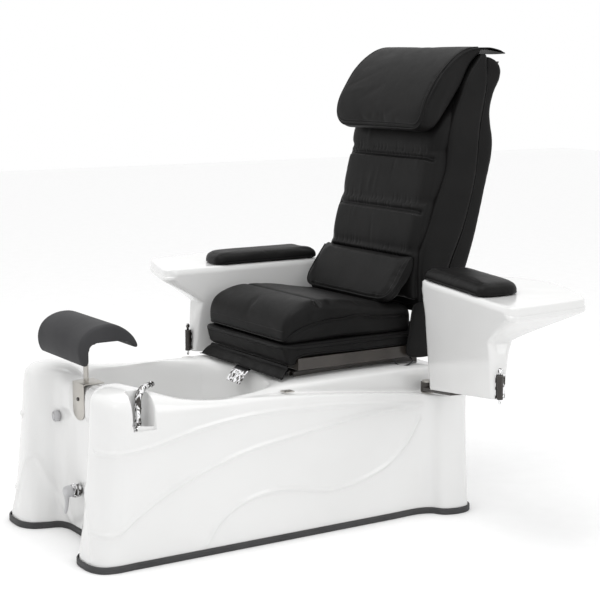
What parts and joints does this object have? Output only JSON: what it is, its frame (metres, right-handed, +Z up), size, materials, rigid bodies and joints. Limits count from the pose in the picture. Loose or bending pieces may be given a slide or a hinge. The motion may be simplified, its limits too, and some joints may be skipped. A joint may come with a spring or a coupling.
{
  "type": "pedicure spa chair",
  "caption": "Salon pedicure chair: moulded foot basin, sliding and reclining padded seat, swing-out armrest trays and a raised footrest.",
  "frame": {"origin": "on the floor, under the middle levelling foot at the centre line of the tub", "axes": "+X towards the sitter's left, -Y towards the footrest end, +Z up"},
  "size_m": [1.5482, 1.4932, 1.4459],
  "materials": {
    "white_shell": "gloss moulded acrylic",
    "black_leather": "grained synthetic leather",
    "grey_pad": "smooth matt polyurethane skin",
    "strip_rubber": "matt",
    "dark_frame_paint": "satin",
    "satin_steel": "brushed",
    "chrome": "polished",
    "grey_plastic": "satin",
    "black_plastic": "matt",
    "copper_pipe": "plain"
  },
  "bodies": {
    "base": {"tub_shell": "white_shell", "bumper_strip": "strip_rubber", "base_frame": "dark_frame_paint", "levelling_feet": "strip_rubber", "rear_access_panel": "white_shell", "panel_screws": "satin_steel", "basin_drain": "chrome", "drain_pipe": "grey_plastic", "drain_valve": "chrome", "jet_pump": "black_plastic", "jet_nozzle": "chrome", "waterfall_spout": "chrome", "supply_pipes": "copper_pipe", "mixer_valve": "copper_pipe", "sprayer_niche": "white_shell", "sprayer_holder": "chrome", "button_bezel": "grey_plastic", "control_box": "black_plastic", "footrest_bracket": "satin_steel", "clamp_screw": "satin_steel", "seat_base_plate": "dark_frame_paint", "base_bolts": "satin_steel", "lower_rails": "dark_frame_paint", "slide_actuator": "black_plastic", "armrest_posts": "satin_steel", "striker_plates": "satin_steel"},
    "drain_lever": {"drain_lever": "grey_plastic"},
    "sprayer": {"sprayer_head": "chrome"},
    "air_button": {"air_button": "grey_plastic"},
    "footrest": {"footrest_post": "satin_steel", "footrest_plate": "satin_steel", "footrest_pad": "grey_pad"},
    "seat": {"slide_rod": "chrome", "upper_rails": "satin_steel", "seat_frame": "dark_frame_paint", "seat_box": "black_leather", "seat_cushion": "black_leather", "seat_skirt": "black_leather", "hinge_plates": "dark_frame_paint", "recline_motor": "black_plastic", "wiring_loop": "black_plastic"},
    "back": {"back_frame": "dark_frame_paint", "back_shell": "black_leather", "back_cushion": "black_leather", "back_bolsters": "black_leather", "lumbar_flap": "black_leather"},
    "headrest": {"headrest_pillow": "black_leather", "headrest_tail": "black_leather"},
    "armrest_left": {"armrest_shell_left": "white_shell", "armrest_pad_left": "black_leather", "armrest_arm_left": "dark_frame_paint", "latch_barrel_left": "satin_steel"},
    "armrest_right": {"armrest_shell_right": "white_shell", "armrest_pad_right": "black_leather", "armrest_arm_right": "dark_frame_paint", "latch_barrel_right": "satin_steel"},
    "latch_left": {"latch_bolt_left": "chrome"},
    "latch_right": {"latch_bolt_right": "chrome"}
  },
  "joints": [
    {"name": "seat_slide", "type": "slide", "parent": "base", "child": "seat", "axis": [0, -1, 0], "range_m": [-0.04, 0.12]},
    {"name": "back_recline", "type": "hinge", "parent": "seat", "child": "back", "pos_m": [0, 0.53, 0.56], "axis": [-1, 0, 0], "range_deg": [0, 35]},
    {"name": "headrest_height", "type": "slide", "parent": "back", "child": "headrest", "axis": [0, 0.3593, 0.9332], "range_m": [0, 0.05]},
    {"name": "armrest_left_swing", "type": "hinge", "parent": "base", "child": "armrest_left", "pos_m": [0.316, 0.512, 0.4], "axis": [0, 0, 1], "range_deg": [-77, 8]},
    {"name": "armrest_right_swing", "type": "hinge", "parent": "base", "child": "armrest_right", "pos_m": [-0.316, 0.512, 0.4], "axis": [0, 0, -1], "range_deg": [0, 85]},
    {"name": "latch_left_pull", "type": "slide", "parent": "armrest_left", "child": "latch_left", "axis": [0, 0, 1], "range_m": [0, 0.015], "stiffness_N_per_m": 300, "springref_m": -0.01},
    {"name": "latch_right_pull", "type": "slide", "parent": "armrest_right", "child": "latch_right", "axis": [0, 0, 1], "range_m": [0, 0.015], "stiffness_N_per_m": 300, "springref_m": -0.01},
    {"name": "footrest_height", "type": "slide", "parent": "base", "child": "footrest", "axis": [0, 0, 1], "range_m": [0, 0.05]},
    {"name": "drain_lever_turn", "type": "hinge", "parent": "base", "child": "drain_lever", "pos_m": [-0.012, -0.55, 0.148], "axis": [0, -1, 0], "range_deg": [0, 90]},
    {"name": "sprayer_pull", "type": "slide", "parent": "base", "child": "sprayer", "axis": [0, 0, 1], "range_m": [0, 0.06]},
    {"name": "air_button_push", "type": "slide", "parent": "base", "child": "air_button", "axis": [0, 1, 0], "range_m": [0, 0.003], "stiffness_N_per_m": 400, "springref_m": -0.002}
  ]
}
